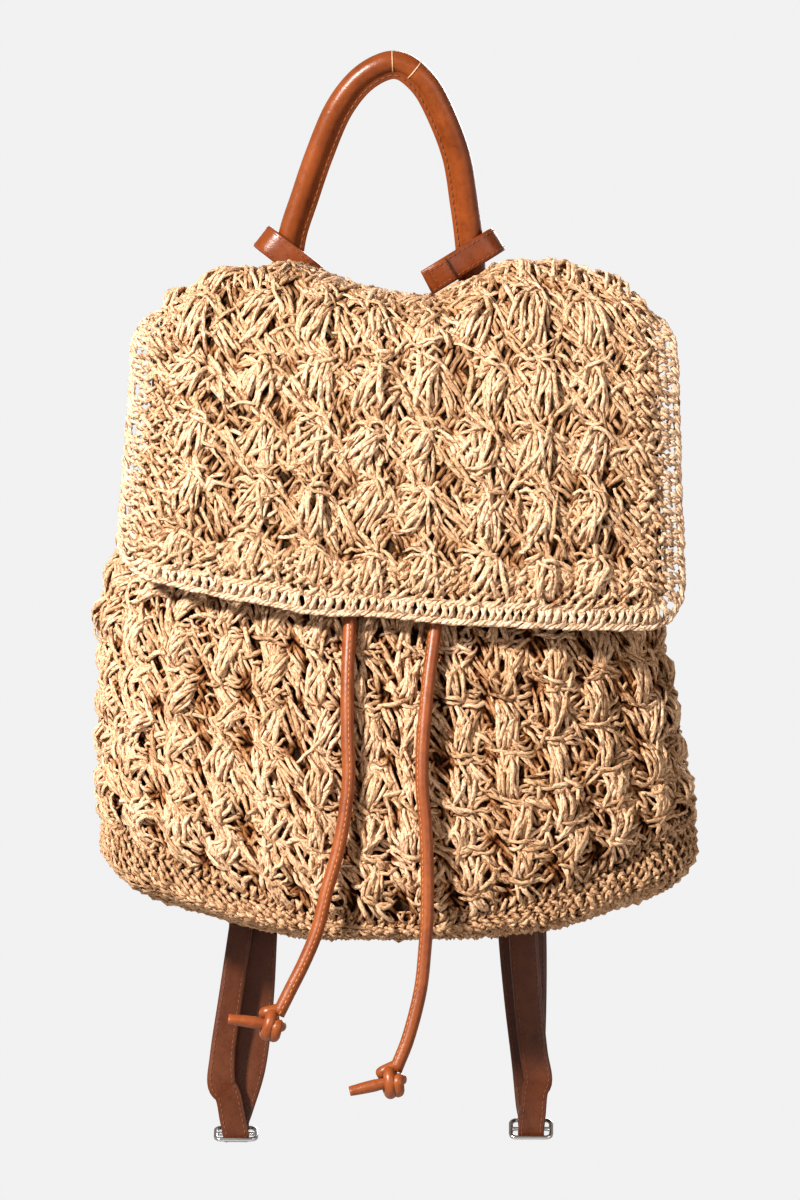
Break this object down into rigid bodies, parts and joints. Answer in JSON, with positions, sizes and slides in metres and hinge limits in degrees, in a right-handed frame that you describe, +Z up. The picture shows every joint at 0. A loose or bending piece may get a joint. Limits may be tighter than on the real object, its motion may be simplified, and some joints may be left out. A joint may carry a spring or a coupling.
{
  "type": "backpack",
  "caption": "Crocheted straw flap backpack with leather handle, drawstring and slide-buckle shoulder straps, hanging by its handle.",
  "frame": {"origin": "underside of the top of the grab handle, where the bag hangs", "axes": "+Z up, -Y towards the front with the flap, +X to the right side seen from the front"},
  "size_m": [0.3191, 0.1416, 0.5844],
  "materials": {
    "straw": "matte crocheted paper straw",
    "leather": "smooth semi-gloss brown leather",
    "metal": "polished silver wire"
  },
  "bodies": {
    "root": {"bag_wall": "straw", "bag_base": "straw", "flap": "straw", "flap_edging": "straw", "handle": "leather", "handle_loop_left": "leather", "handle_loop_right": "leather", "drawstring_neck": "leather", "drawstring_left": "leather", "drawstring_right": "leather", "drawstring_knot_left": "leather", "drawstring_knot_right": "leather", "strap_left_upper": "leather", "strap_left_lower": "leather", "strap_right_upper": "leather", "strap_right_lower": "leather", "slide_buckle_left": "metal", "slide_buckle_right": "metal"}
  },
  "joints": []
}
